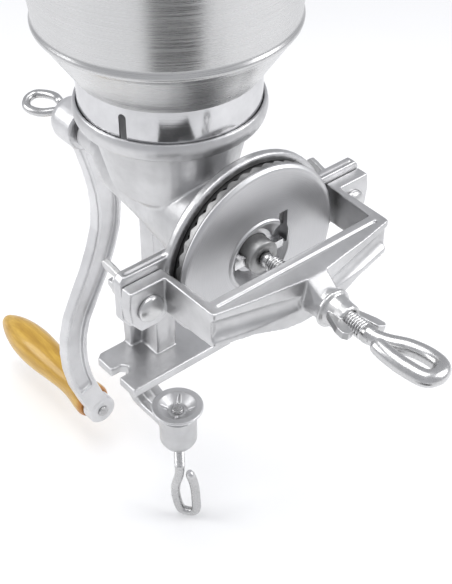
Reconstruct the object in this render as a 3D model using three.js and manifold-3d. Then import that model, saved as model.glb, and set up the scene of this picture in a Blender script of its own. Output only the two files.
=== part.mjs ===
// Hand-cranked grain mill with a table clamp: cast body, steel burr plates, sheet hopper.
// Millimetres, Z up. X runs along the shaft, from the crank towards the adjusting screw.
// The origin lies on the underside of the base plate, below the axis of the hopper.
import * as THREE from "three";
import { ConvexGeometry } from "three/addons/geometries/ConvexGeometry.js";
import { mergeVertices } from "three/addons/utils/BufferGeometryUtils.js";
import Module from "manifold-3d";

const wasm = await Module();
wasm.setup();

// ---- driving dimensions ----
const GAP = 0.3; // clearance between separate pieces
const SHEET = 1.2; // wall of the sheet hopper
const WALL = 4; // wall of the casting

const SHAFT_HEIGHT = 167; // shaft axis above the underside of the base plate

const SKIRT_R = 60.8; // outside of the hopper skirt
const SKIRT_BOTTOM = 66.3; // heights above the shaft axis
const SKIRT_TOP = 105;
const BOWL_BOTTOM = 101.9;
const BOWL_SHOULDER_R = 84;
const BOWL_SHOULDER = 136;
const BOWL_TOP_R = 92;
const BOWL_TOP = 214;
const SLOT_W = 5.2;
const SLOT_TOP = 96.5;
const SLOT_ANGLE = -66; // degrees about Z, from +X

const RIM_BOTTOM = 66;
const RIM_TOP = 79.5;
const RIM_BULGE = 3.2; // how far the bead stands out from the socket
const FUNNEL_TOP_R = 54.4;
const FUNNEL_NECK_R = 42.6;
const FUNNEL_NECK = 18;
const THROAT_X = 30; // half length and half width of the hole into the barrel
const THROAT_Y = 20;

const BORE_R = 22.4; // bore the worm turns in
const BORE_REAR = -44;
const BARREL_R = 28.5; // outside, under the funnel
const NECK_R = 13; // rear bearing neck
const NECK_REAR = -99;

const DISC_R = 64.3;

const FLANGE_R = DISC_R + 3.4;
const FLANGE_REAR = 73;
const FLANGE_FRONT = 79.6;
const EAR_REACH = DISC_R + 36.2;
const EAR_REAR = 69.8;
const EAR_FRONT = 77.8;
const EAR_TOP = 23;
const EAR_BOTTOM = -18;

const BURR_OUTER_R = DISC_R - 3.3;
const BURR_INNER_R = 26;
const BURR_FIXED_REAR = 77.6;
const BURR_FIXED_FRONT = 82.9;
const BURR_THICK = 4;
const BURR_GAP = 0.4; // between the two burrs at rest
const TOOTH_DEPTH = 2.1;
const MOVING_BURR_R = DISC_R - 0.7; // the turning burr reaches almost to the edge of its disc
const TEETH = 42;

const DISC_FACE = 91.4;
const HUB_R = 24.6; // low lip round the recess in the disc
const HUB_LIP = 1.2;
const HUB_RECESS_R = 16;
const HUB_FLOOR = 84.5;
const HUB_REAR = 80.5;

const AUGER_CORE_R = 8;
const AUGER_FLIGHT_R = 20.8;
const AUGER_PITCH = 26;
const AUGER_FRONT = 62; // where the flights end
const AUGER_HEAD_R = 12;
const AUGER_TIP = 95.5;
const JOURNAL_R = 8;

const LUG_FROM = 15.6; // the slot beside the recess
const LUG_TO = 22.8;
const LUG_END = 26;

const KEY_HALF = 21;
const KEY_X = 84.8;
const KEY_L = 6;
const KEY_H = 6;

const BALL_R = 5;
const BALL_SEAT = 3;

const YOKE_TOP = 17.3;
const YOKE_BOTTOM = -9.2;
const FOOT_INNER = DISC_R + 6.7; // the yoke stands clear of the disc on both sides
const FOOT_OUTER = DISC_R + 35.7;
const FOOT_THICK = 9.3;
const FOOT_BOTTOM = -16;
const CROSSBAR_INNER = 121.9;
const CROSSBAR_END = 133.4; // outer edge at the corners
const CROSSBAR_MID = 144; // outer edge in the middle
const CROSSBAR_SPAN = DISC_R + 9.2;
const CROSSBAR_DROP = 8; // how much deeper the bar is in the middle
const RIB = 4; // flange thickness of the yoke
const STEM_R = 11;
const STEM_END = 158;

const BOLT_Y = DISC_R + 21.7;
const BOLT_R = 4.6;
const BOLT_HEAD_R = 9.4;
const BOLT_HEAD_H = 5;
const BOLT_END = 53;

const ADJUSTER_R = 6.2;
const ADJUSTER_SHOULDER = 195; // where the adjusting screw bends into its loop
const ADJUSTER_BAR_R = 5.5;
const LOOP_L = 55;
const LOOP_W = 31;
const LOOP_LEAN = 6; // degrees the loop is bent off the axis of its screw

const CRANK_LENGTH = 295;
const CRANK_X = -112; // middle plane of the arm
const CRANK_WIDTH = 25; // at the hub
const CRANK_TAPER = 2.4; // lost from each half of the width on the way to the pin
const CRANK_THICK = 11;
const CRANK_WEB = 3.2;
const CRANK_RIB = 4.2;
const CRANK_HUB_R = 17.8;
const CRANK_HUB_REAR = -131;
const CRANK_HUB_FRONT = -102.4;
const CRANK_END_R = 13.5;
const CRANK_END_HALF = 6.4;
const CRANK_LEAN = -1.4; // degrees the arm leans at rest
const CRANK_BOW = [ // sideways bow of the arm at each fraction of its length
  [0, 0], [8, 0.08], [17, 0.21], [17, 0.34], [3, 0.48], [-16.5, 0.617], [-22, 0.729], [-17, 0.854], [0, 1],
];

const GRIP_START = -119;
const GRIP_LENGTH = 145;
const GRIP_R = 17.5;
const SPINDLE_R = 3.6;

const THUMB_R = 4.2;
const THUMB_TIP = -100;
const THUMB_SHOULDER = -135;
const THUMB_LOOP_L = 37;
const THUMB_LOOP_W = 24;
const THUMB_LEAN = 19;
const THUMB_BAR_R = 3.3;

const PLATE_THICK = 8;
const PLATE_BACK = -45;
const PLATE_FRONT = 6.2;
const PLATE_HALF = 47.6;
const NOTCH_FROM = -23.4;
const NOTCH_TO = -13.3;
const NOTCH_DEPTH = 13;
const PLATE_TOP = -SHAFT_HEIGHT + PLATE_THICK;

const COLUMN_FRONT = -13.4;
const COLUMN_BACK = -31;
const COLUMN_HALF = 9;
const COLUMN_FOOT_HALF = 19;
const COLUMN_RIB = 6;
const COLUMN_PANEL = 1.4; // depth of the flat panel on its front

const CLAMP_X = -4;
const CLAMP_OPENING = 46; // between the base plate and the rim of the pad
const PAD_R = 21.2;
const PAD_H = 9;
const PAD_FACE = 5.5; // width of the flat rim of the pad
const BOSS_R = 15.5;
const BOSS_H = 35.5;
const CLAMP_R = 4.5;
const CLAMP_BAR_R = 4;
const CLAMP_SHANK = 66; // length of screw below the top of the boss
const CLAMP_LOOP_L = 60;
const CLAMP_LOOP_W = 25;
const CLAMP_LEAN = 7;
const CLAMP_LOOP_TURN = 118; // the way the loop points at rest
const ARM_HALF = 12;
const ARM_WEB = 4;
const ARM_OUT = -59;
const ARM_IN = -50;

const WASHED_TIN = { color: 0xc9cbcc, roughness: 0.42, metalness: 0.85 };
const POLISHED = { color: 0xd6d8da, roughness: 0.2, metalness: 0.95 };
const STEEL = { color: 0xb4b7ba, roughness: 0.3, metalness: 0.95 };
const IRON = { color: 0x8d8f91, roughness: 0.5, metalness: 0.85 };
const WOOD = { color: 0xc9923f, roughness: 0.4, metalness: 0 };

// ---- solids ----

// A closed three.js geometry as a manifold-3d solid that faces out.
function solid(geometry) {
  const bare = geometry.clone();
  bare.deleteAttribute("normal");
  bare.deleteAttribute("uv");
  const merged = mergeVertices(bare, 1e-4);
  const numProp = 3;
  const vertProperties = new Float32Array(merged.attributes.position.array);
  const triVerts = new Uint32Array(merged.index.array);
  const made = new wasm.Manifold(new wasm.Mesh({ numProp, vertProperties, triVerts }));
  if (made.volume() > 0) return made;
  for (let i = 0; i < triVerts.length; i += 3) {
    [triVerts[i + 1], triVerts[i + 2]] = [triVerts[i + 2], triVerts[i + 1]];
  }
  return new wasm.Manifold(new wasm.Mesh({ numProp, vertProperties, triVerts }));
}

const union = (...solids) => solids.reduce((a, b) => a.add(b));
const cut = (from, ...tools) => tools.reduce((a, b) => a.subtract(b), from);
const hull = (points) => solid(new ConvexGeometry(points.map((p) => new THREE.Vector3(...p))));

// Revolves a closed profile of [radius, height] points about Z.
function latheZ(profile, segments = 40) {
  const points = [...profile, profile[0]].map(([r, h]) => new THREE.Vector2(r, h));
  return solid(new THREE.LatheGeometry(points, segments).rotateX(Math.PI / 2));
}

// Revolves a closed profile of [radius, x] points about X.
function latheX(profile, segments = 40) {
  const points = [...profile, profile[0]].map(([r, h]) => new THREE.Vector2(r, h));
  return solid(new THREE.LatheGeometry(points, segments).rotateZ(-Math.PI / 2));
}

const rodX = (r, from, to, segments = 24) => latheX([[0, from], [r, from], [r, to], [0, to]], segments);
const rodZ = (r, from, to, segments = 24) => latheZ([[0, from], [r, from], [r, to], [0, to]], segments);

function box(x0, x1, y0, y1, z0, z1) {
  const g = new THREE.BoxGeometry(x1 - x0, y1 - y0, z1 - z0);
  return solid(g.translate((x0 + x1) / 2, (y0 + y1) / 2, (z0 + z1) / 2));
}

// Extrudes an outline from one plane to another: "z" takes [x, y] points, "y" takes [x, z], "x" takes [y, z].
function prism(axis, outline, from, to) {
  const shape = new THREE.Shape(outline.map(([u, v]) => new THREE.Vector2(u, v)));
  const g = new THREE.ExtrudeGeometry(shape, { depth: to - from, bevelEnabled: false }).translate(0, 0, from);
  if (axis === "y") g.applyMatrix4(new THREE.Matrix4().set(1, 0, 0, 0, 0, 0, 1, 0, 0, 1, 0, 0, 0, 0, 0, 1));
  if (axis === "x") g.applyMatrix4(new THREE.Matrix4().set(0, 0, 1, 0, 1, 0, 0, 0, 0, 1, 0, 0, 0, 0, 0, 1));
  return solid(g);
}

// Sweeps a round bar along a smooth line through the points.
function bar(points, radius, steps, sides) {
  const outline = circle(radius, radius, 0, sides).map(([x, y]) => new THREE.Vector2(x, y));
  const path = new THREE.CatmullRomCurve3(points.map((p) => new THREE.Vector3(...p)), false, "centripetal");
  return solid(new THREE.ExtrudeGeometry(new THREE.Shape(outline), { steps, extrudePath: path }));
}

const moved = (s, x, y, z) => s.translate([x, y, z]);
const turned = (s, x, y, z) => s.rotate([x, y, z]);
const mirroredY = (s) => s.mirror([0, 1, 0]);

const circle = (radiusX, radiusY, z, count = 32) =>
  Array.from({ length: count }, (_, i) => {
    const a = (2 * Math.PI * i) / count;
    return [radiusX * Math.cos(a), radiusY * Math.sin(a), z];
  });

function circleXZ(x, y, z, radius, count = 32) {
  return circle(radius, radius, y, count).map(([u, v, w]) => [x + u, w, z + v]);
}

// ---- body casting ----

function funnel(inset) {
  const sides = 56;
  const upper = hull([
    ...circle(FUNNEL_TOP_R - inset, FUNNEL_TOP_R - inset, RIM_BOTTOM + inset, sides),
    ...circle(FUNNEL_NECK_R - inset, FUNNEL_NECK_R - inset, FUNNEL_NECK, sides),
  ]);
  const throat = hull([
    ...circle(FUNNEL_NECK_R - inset, FUNNEL_NECK_R - inset, FUNNEL_NECK, sides),
    ...circle(THROAT_X + WALL - inset, THROAT_Y + WALL - inset, 0, sides),
  ]);
  return union(upper, throat);
}

function rim() {
  const socket = SKIRT_R + GAP;
  return latheZ([
    [FUNNEL_TOP_R - WALL, RIM_BOTTOM - 4],
    [FUNNEL_TOP_R - 1, RIM_BOTTOM - 4],
    [socket - 1, RIM_BOTTOM - 1],
    [socket + RIM_BULGE * 0.6, RIM_BOTTOM + 1.5],
    [socket + RIM_BULGE, RIM_BOTTOM + 6],
    [socket + RIM_BULGE, RIM_BOTTOM + 9],
    [socket + RIM_BULGE * 0.6, RIM_TOP],
    [socket, RIM_TOP],
    [socket, RIM_BOTTOM],
    [FUNNEL_TOP_R - WALL, RIM_BOTTOM],
  ], 56);
}

function barrel() {
  return latheX([
    [0, NECK_REAR],
    [NECK_R, NECK_REAR],
    [NECK_R + 1, NECK_REAR + 19],
    [BARREL_R - 8, BORE_REAR - 22],
    [BARREL_R - 3, BORE_REAR - 6],
    [BARREL_R, BORE_REAR + 29],
    [BARREL_R + 9, FLANGE_REAR - 23],
    [BARREL_R + 19, FLANGE_REAR - 9],
    [FLANGE_R - 7, FLANGE_REAR - 3],
    [FLANGE_R - 1, FLANGE_REAR],
    [FLANGE_R, FLANGE_REAR + 1],
    [FLANGE_R, FLANGE_FRONT - 1],
    [FLANGE_R - 1, FLANGE_FRONT],
    [0, FLANGE_FRONT],
  ], 56);
}

function ears() {
  const right = prism("x", [
    [FLANGE_R - 12, EAR_BOTTOM - 4],
    [EAR_REACH - 6, EAR_BOTTOM],
    [EAR_REACH, EAR_BOTTOM + 8],
    [EAR_REACH, EAR_TOP - 4],
    [EAR_REACH - 3, EAR_TOP],
    [FLANGE_R - 12, EAR_TOP],
  ], EAR_REAR, EAR_FRONT);
  const groove = box(
    EAR_FRONT - 3.8, EAR_FRONT - 2,
    FLANGE_R - 12, EAR_REACH - 5,
    EAR_TOP - 1.6, EAR_TOP + 1,
  );
  const grooved = cut(right, groove);
  return union(grooved, mirroredY(grooved));
}

function column() {
  const top = -20;
  const foot = PLATE_TOP - 1;
  const knee = PLATE_TOP + 84;
  const heel = PLATE_TOP + 34;
  const web = hull([
    ...[COLUMN_BACK, COLUMN_FRONT].flatMap((x) => [[x, -COLUMN_HALF, top], [x, COLUMN_HALF, top]]),
    ...[COLUMN_BACK, COLUMN_FRONT].flatMap((x) => [[x, -COLUMN_HALF, knee], [x, COLUMN_HALF, knee]]),
  ]);
  const spread = hull([
    ...[COLUMN_BACK, COLUMN_FRONT].flatMap((x) => [[x, -COLUMN_HALF, knee], [x, COLUMN_HALF, knee]]),
    ...[PLATE_BACK - 2, COLUMN_FRONT].flatMap((x) => [[x, -COLUMN_HALF, heel], [x, COLUMN_HALF, heel]]),
    ...[PLATE_BACK, COLUMN_FRONT - 2].flatMap((x) => [[x, -COLUMN_HALF, foot], [x, COLUMN_HALF, foot]]),
  ]);
  const back = hull([
    ...[COLUMN_BACK, COLUMN_BACK + 7].flatMap((x) => [[x, -COLUMN_HALF, knee], [x, COLUMN_HALF, knee]]),
    ...[PLATE_BACK - 2, PLATE_BACK + 7].flatMap((x) => [
      [x, -COLUMN_FOOT_HALF, heel], [x, COLUMN_FOOT_HALF, heel],
    ]),
    ...[PLATE_BACK, PLATE_BACK + 9].flatMap(
      (x) => [[x, -COLUMN_FOOT_HALF, foot], [x, COLUMN_FOOT_HALF, foot]],
    ),
  ]);
  const panel = box(
    COLUMN_FRONT - COLUMN_PANEL, COLUMN_FRONT + 5, -COLUMN_HALF - 1, COLUMN_HALF - COLUMN_RIB,
    PLATE_TOP + 6, -BARREL_R - 8,
  );
  return cut(union(web, spread, back), panel);
}

function basePlate() {
  const half = [
    [PLATE_FRONT, 0],
    [PLATE_FRONT, PLATE_HALF],
    [NOTCH_TO, PLATE_HALF],
    [NOTCH_TO, PLATE_HALF - NOTCH_DEPTH + 4],
    [(NOTCH_FROM + NOTCH_TO) / 2, PLATE_HALF - NOTCH_DEPTH],
    [NOTCH_FROM, PLATE_HALF - NOTCH_DEPTH + 4],
    [NOTCH_FROM, PLATE_HALF],
    [PLATE_BACK + 4, PLATE_HALF],
    [PLATE_BACK, PLATE_HALF - 5],
    [PLATE_BACK, 0],
  ];
  const whole = [...half, ...half.slice(1, -1).reverse().map(([x, y]) => [x, -y])];
  return prism("z", whole, -SHAFT_HEIGHT, PLATE_TOP);
}

const PAD_RIM = -SHAFT_HEIGHT - CLAMP_OPENING;
const BOSS_TOP = PAD_RIM - PAD_H - GAP;
const BOSS_BOTTOM = BOSS_TOP - BOSS_H;
const ARM_FLOOR = BOSS_TOP - 15.5;

function clampArm() {
  const outer = [
    [PLATE_BACK + 8, PLATE_TOP - 1], [PLATE_BACK, PLATE_TOP - 1],
    [ARM_OUT + 3, -SHAFT_HEIGHT - 7], [ARM_OUT, -SHAFT_HEIGHT - 23],
    [ARM_OUT, ARM_FLOOR + 15], [ARM_OUT + 3, ARM_FLOOR + 6], [ARM_OUT + 9, ARM_FLOOR + 1],
    [ARM_OUT + 19, ARM_FLOOR], [CLAMP_X, ARM_FLOOR],
  ];
  const inner = [
    [CLAMP_X, BOSS_TOP - 1], [CLAMP_X - 17, BOSS_TOP - 1], [ARM_IN + 14, PAD_RIM - 4],
    [ARM_IN + 4, PAD_RIM + 5], [ARM_IN, PAD_RIM + 14],
    [ARM_IN, -SHAFT_HEIGHT - 10], [ARM_IN + 4, -SHAFT_HEIGHT], [PLATE_BACK + 8, -SHAFT_HEIGHT],
  ];
  const flangeInner = [
    [CLAMP_X, ARM_FLOOR + 7], [ARM_OUT + 20, ARM_FLOOR + 7], [ARM_OUT + 11, ARM_FLOOR + 10],
    [ARM_OUT + 6.5, ARM_FLOOR + 17], [ARM_OUT + 6.5, -SHAFT_HEIGHT - 23],
    [ARM_OUT + 9, -SHAFT_HEIGHT - 10], [PLATE_BACK + 8, -SHAFT_HEIGHT],
  ];
  const web = prism("y", [...outer, ...inner], -ARM_WEB, ARM_WEB);
  const flange = prism("y", [...outer, ...flangeInner], -ARM_HALF, ARM_HALF);
  return union(web, flange);
}

function clampBoss() {
  return moved(latheZ([
    [0, BOSS_BOTTOM],
    [BOSS_R - 7, BOSS_BOTTOM],
    [BOSS_R - 3, BOSS_BOTTOM + 2.5],
    [BOSS_R, BOSS_BOTTOM + 8],
    [BOSS_R, BOSS_TOP],
    [0, BOSS_TOP],
  ], 36), CLAMP_X, 0, 0);
}

function bodyCasting() {
  const outside = union(funnel(0), rim(), barrel(), ears(), column(), basePlate(), clampArm(), clampBoss());
  const bore = rodX(BORE_R, BORE_REAR, FLANGE_FRONT + 1, 32);
  const burrSeat = rodX(BURR_OUTER_R + GAP, BURR_FIXED_REAR - GAP, FLANGE_FRONT + 1, 40);
  const journal = rodX(JOURNAL_R + GAP, NECK_REAR - 1, BORE_REAR + 1, 24);
  const boltHole = moved(rodX(BOLT_R + GAP, EAR_REAR - 1, EAR_FRONT + 1, 20), 0, BOLT_Y, 0);
  const clampHole = moved(rodZ(CLAMP_R + GAP, BOSS_BOTTOM - 1, BOSS_TOP + 1, 24), CLAMP_X, 0, 0);
  return cut(outside, funnel(WALL), bore, burrSeat, journal, boltHole, mirroredY(boltHole), clampHole);
}

// ---- hopper ----

function hopperSkirt() {
  const ring = latheZ([
    [SKIRT_R - SHEET, SKIRT_BOTTOM],
    [SKIRT_R, SKIRT_BOTTOM],
    [SKIRT_R, SKIRT_TOP],
    [SKIRT_R - SHEET, SKIRT_TOP],
  ], 48);
  const half = SLOT_W / 2;
  const slot = prism("x", [
    [-half, SKIRT_BOTTOM - 1], [half, SKIRT_BOTTOM - 1], [half, SLOT_TOP - half],
    [half * 0.7, SLOT_TOP - half * 0.3], [0, SLOT_TOP],
    [-half * 0.7, SLOT_TOP - half * 0.3], [-half, SLOT_TOP - half],
  ], SKIRT_R - 8, SKIRT_R + 4);
  return cut(ring, turned(slot, 0, 0, SLOT_ANGLE));
}

function hopperBowl() {
  const lip = SKIRT_R + GAP;
  const outside = [
    [lip + SHEET, BOWL_BOTTOM],
    [lip + SHEET + 1, BOWL_BOTTOM + 2],
    [BOWL_SHOULDER_R - 1, BOWL_SHOULDER - 2],
    [BOWL_SHOULDER_R + 1.6, BOWL_SHOULDER + 1],
    [BOWL_SHOULDER_R + 1.6, BOWL_SHOULDER + 3],
    [BOWL_SHOULDER_R + 0.2, BOWL_SHOULDER + 6],
    [BOWL_TOP_R - 0.2, BOWL_TOP - 5],
    [BOWL_TOP_R + 1.6, BOWL_TOP - 4],
    [BOWL_TOP_R + 2.2, BOWL_TOP - 2],
    [BOWL_TOP_R + 1.6, BOWL_TOP],
    [BOWL_TOP_R - SHEET, BOWL_TOP],
  ];
  const inside = [
    [BOWL_SHOULDER_R - SHEET, BOWL_SHOULDER + 6],
    [BOWL_SHOULDER_R - SHEET, BOWL_SHOULDER],
    [BOWL_SHOULDER_R - SHEET - 1.4, BOWL_SHOULDER - 2],
    [SKIRT_R - SHEET, SKIRT_TOP + GAP],
    [lip, SKIRT_TOP + GAP],
    [lip, BOWL_BOTTOM],
  ];
  return latheZ([...outside, ...inside], 44);
}

// ---- burrs, disc and shaft ----

// A burr ring with V grooves cut into the face at x = face; side is the way the grooves cut in.
function burr(outerR, rear, front, face, side) {
  const ring = latheX([
    [BURR_INNER_R, rear], [outerR, rear], [outerR, front], [BURR_INNER_R, front],
  ], 2 * TEETH);
  const half = (Math.PI * outerR) / TEETH;
  const outer = outerR + 2;
  const inner = BURR_INNER_R + 8;
  const mouth = face - side * 0.2;
  const root = face + side * TOOTH_DEPTH;
  const groove = hull([
    [mouth, -half * 0.8, outer], [mouth, half * 0.8, outer], [root, 0, outer],
    [mouth, -half * 0.35, inner], [mouth, half * 0.35, inner], [face + side * 0.3, 0, inner],
  ]);
  const grooves = Array.from({ length: TEETH }, (_, i) => turned(groove, (360 * (i + 0.5)) / TEETH, 0, 0));
  return cut(ring, union(...grooves));
}

const MOVING_REAR = BURR_FIXED_FRONT + BURR_GAP;
const MOVING_FRONT = MOVING_REAR + BURR_THICK;

function discCarrier() {
  const seat = MOVING_FRONT + GAP;
  const lip = DISC_FACE + HUB_LIP;
  const turnedDisc = latheX([
    [AUGER_HEAD_R + GAP, HUB_REAR], [BURR_INNER_R - 1, HUB_REAR], [BURR_INNER_R - 1, MOVING_REAR],
    [BURR_INNER_R - GAP, MOVING_REAR + 1], [BURR_INNER_R - GAP, seat],
    [DISC_R - 0.6, seat], [DISC_R, seat + 0.6], [DISC_R, DISC_FACE - 2], [DISC_R - 2.2, DISC_FACE - 0.3],
    [DISC_R - 4, DISC_FACE], [HUB_R + 2, DISC_FACE], [HUB_R + 0.8, lip], [HUB_R - 0.8, lip],
    [HUB_RECESS_R + 1, HUB_FLOOR + 1.5], [HUB_RECESS_R, HUB_FLOOR], [AUGER_HEAD_R + GAP, HUB_FLOOR],
  ], 56);
  const keySlot = box(
    HUB_FLOOR, lip + 1, -KEY_HALF - GAP, KEY_HALF + GAP, -KEY_H / 2 - GAP, KEY_H / 2 + GAP,
  );
  const lugSlot = box(HUB_FLOOR, lip + 1, LUG_FROM, LUG_TO, 0, LUG_END);
  return cut(turnedDisc, keySlot, lugSlot);
}

// The worm: one flight wound round the core, closed at both ends.
function wormFlight(from, to) {
  const steps = 36;
  const sides = 12;
  const position = [];
  const index = [];
  const radiusAt = (a) => {
    const spread = Math.abs(((a + Math.PI) % (2 * Math.PI)) - Math.PI);
    const rise = THREE.MathUtils.smoothstep(1.15 - spread, 0, 0.55);
    return AUGER_CORE_R + (AUGER_FLIGHT_R - AUGER_CORE_R) * rise;
  };
  for (let s = 0; s <= steps; s++) {
    const x = from + ((to - from) * s) / steps;
    const twist = (2 * Math.PI * (x - from)) / AUGER_PITCH;
    for (let i = 0; i < sides; i++) {
      const a = (2 * Math.PI * i) / sides;
      const r = radiusAt(a);
      position.push(x, r * Math.cos(a + twist), r * Math.sin(a + twist));
    }
  }
  for (let s = 0; s < steps; s++) {
    for (let i = 0; i < sides; i++) {
      const a = s * sides + i;
      const b = s * sides + ((i + 1) % sides);
      index.push(a, b, a + sides, b, b + sides, a + sides);
    }
  }
  for (const end of [0, steps]) {
    const centre = position.length / 3;
    position.push(from + ((to - from) * end) / steps, 0, 0);
    for (let i = 0; i < sides; i++) {
      const a = end * sides + i;
      const b = end * sides + ((i + 1) % sides);
      index.push(centre, ...(end ? [a, b] : [b, a]));
    }
  }
  const g = new THREE.BufferGeometry();
  g.setAttribute("position", new THREE.Float32BufferAttribute(position, 3));
  g.setIndex(index);
  return solid(g);
}

function auger() {
  const shaft = latheX([
    [0, CRANK_HUB_REAR + 4], [JOURNAL_R - 1, CRANK_HUB_REAR + 4], [JOURNAL_R - 1, CRANK_HUB_FRONT + 0.5],
    [JOURNAL_R, CRANK_HUB_FRONT + 0.5], [JOURNAL_R, BORE_REAR + 0.6], [AUGER_CORE_R + 3, BORE_REAR + 0.6],
    [AUGER_CORE_R + 3, BORE_REAR + 5], [AUGER_CORE_R - 2, BORE_REAR + 8], [AUGER_CORE_R - 2, AUGER_FRONT - 2],
    [AUGER_HEAD_R, AUGER_FRONT + 6], [AUGER_HEAD_R, AUGER_TIP - 1],
    [AUGER_HEAD_R - 1, AUGER_TIP], [0, AUGER_TIP],
  ], 32);
  const flat = box(CRANK_HUB_REAR, CRANK_HUB_FRONT + 0.5, -20, 20, JOURNAL_R - 2.4, 20);
  const keyway = box(
    KEY_X - GAP, KEY_X + KEY_L + GAP, -AUGER_HEAD_R - 1, AUGER_HEAD_R + 1, -KEY_H / 2 - GAP, KEY_H / 2 + GAP,
  );
  const seat = rodX(BALL_R + GAP, AUGER_TIP - BALL_SEAT, AUGER_TIP + 1, 20);
  const threadHole = rodX(THUMB_R + GAP, CRANK_HUB_REAR, THUMB_TIP + 2, 20);
  return cut(union(shaft, wormFlight(BORE_REAR + 6, AUGER_FRONT)), flat, keyway, seat, threadHole);
}

function driveKey() {
  return box(KEY_X, KEY_X + KEY_L, -KEY_HALF, KEY_HALF, -KEY_H / 2, KEY_H / 2);
}

const BALL_X = AUGER_TIP - BALL_SEAT + GAP + BALL_R;

function thrustBall() {
  return moved(solid(new THREE.SphereGeometry(BALL_R, 16, 10)), BALL_X, 0, 0);
}

// ---- yoke ----

function yokeFoot() {
  const back = EAR_FRONT + GAP;
  const foot = prism("x", [
    [FOOT_INNER - 1, FOOT_BOTTOM + 5],
    [FOOT_INNER + 8, FOOT_BOTTOM],
    [FOOT_OUTER - 7, FOOT_BOTTOM],
    [FOOT_OUTER, FOOT_BOTTOM + 9],
    [FOOT_OUTER + 1.5, YOKE_TOP - 12],
    [FOOT_OUTER, YOKE_TOP],
    [FOOT_INNER - 1, YOKE_TOP],
  ], back, back + FOOT_THICK);
  const arm = hull([
    ...[YOKE_TOP, FOOT_BOTTOM + 5].flatMap((z) => [[back, FOOT_INNER - 1, z], [back, FOOT_INNER + 3.3, z]]),
    ...[YOKE_TOP, YOKE_BOTTOM].flatMap((z) => [
      [CROSSBAR_END - 4, CROSSBAR_SPAN - 7, z], [CROSSBAR_END - 2, CROSSBAR_SPAN, z],
    ]),
  ]);
  return union(foot, arm);
}

function crossbarOutline(inner, outset) {
  return [
    [inner, -CROSSBAR_SPAN + 1], [CROSSBAR_END + outset, -CROSSBAR_SPAN],
    [CROSSBAR_END + 5 + outset, -CROSSBAR_SPAN + 26],
    [CROSSBAR_MID - 2 + outset, -22], [CROSSBAR_MID + outset, -9], [CROSSBAR_MID + outset, 9],
    [CROSSBAR_MID - 2 + outset, 22], [CROSSBAR_END + 5 + outset, CROSSBAR_SPAN - 26],
    [CROSSBAR_END + outset, CROSSBAR_SPAN], [inner, CROSSBAR_SPAN - 1],
  ];
}

function crossbar() {
  const whole = prism("x", [
    [-CROSSBAR_SPAN, YOKE_TOP], [-CROSSBAR_SPAN, YOKE_BOTTOM], [-CROSSBAR_SPAN + 28, YOKE_BOTTOM - 1.5],
    [-22, YOKE_BOTTOM - CROSSBAR_DROP], [22, YOKE_BOTTOM - CROSSBAR_DROP],
    [CROSSBAR_SPAN - 28, YOKE_BOTTOM - 1.5], [CROSSBAR_SPAN, YOKE_BOTTOM], [CROSSBAR_SPAN, YOKE_TOP],
  ], CROSSBAR_INNER, CROSSBAR_MID);
  const plan = prism("z", crossbarOutline(CROSSBAR_INNER, 0), YOKE_BOTTOM - 20, YOKE_TOP);
  const blank = whole.intersect(plan);
  const cove = (sign) => hull([
    ...circleXZ(CROSSBAR_END + 5.6, (CROSSBAR_SPAN + 4) * sign, 4, 11),
    ...circleXZ(CROSSBAR_MID + 10, 12 * sign, 0, 12),
  ]);
  const groove = box(
    CROSSBAR_INNER + 5.6, CROSSBAR_INNER + 7.8, -CROSSBAR_SPAN, CROSSBAR_SPAN, YOKE_TOP - 1.8, YOKE_TOP + 1,
  );
  return cut(blank, cove(1), cove(-1), groove);
}

function yokeStem() {
  const round = rodX(STEM_R, CROSSBAR_INNER + 1, STEM_END, 32);
  const ridge = hull([
    [CROSSBAR_INNER + 10, -STEM_R, 0], [CROSSBAR_INNER + 10, STEM_R, 0],
    [CROSSBAR_MID, -8, YOKE_TOP], [CROSSBAR_MID, 8, YOKE_TOP],
    [CROSSBAR_INNER + 10, -8, YOKE_TOP], [CROSSBAR_INNER + 10, 8, YOKE_TOP],
    [STEM_END, -7, STEM_R - 3], [STEM_END, 7, STEM_R - 3], [STEM_END, -STEM_R, 0], [STEM_END, STEM_R, 0],
  ]);
  return union(round, ridge);
}

function yoke() {
  const foot = yokeFoot();
  const hole = moved(rodX(BOLT_R + GAP, EAR_FRONT, EAR_FRONT + 2 * FOOT_THICK, 20), 0, BOLT_Y, 0);
  const screwHole = rodX(ADJUSTER_R + GAP, CROSSBAR_INNER - 1, STEM_END + 1, 28);
  return cut(union(foot, mirroredY(foot), crossbar(), yokeStem()), hole, mirroredY(hole), screwHole);
}

// ---- fasteners ----

function yokeBolt() {
  const seat = EAR_FRONT + FOOT_THICK + 2 * GAP;
  return moved(latheX([
    [0, BOLT_END], [BOLT_R - 0.8, BOLT_END], [BOLT_R, BOLT_END + 0.8], [BOLT_R, seat], [BOLT_HEAD_R, seat],
    [BOLT_HEAD_R, seat + 1], [BOLT_HEAD_R * 0.85, seat + BOLT_HEAD_H * 0.6],
    [BOLT_HEAD_R * 0.5, seat + BOLT_HEAD_H * 0.92], [0, seat + BOLT_HEAD_H],
  ], 28), 0, BOLT_Y, 0);
}

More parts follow.
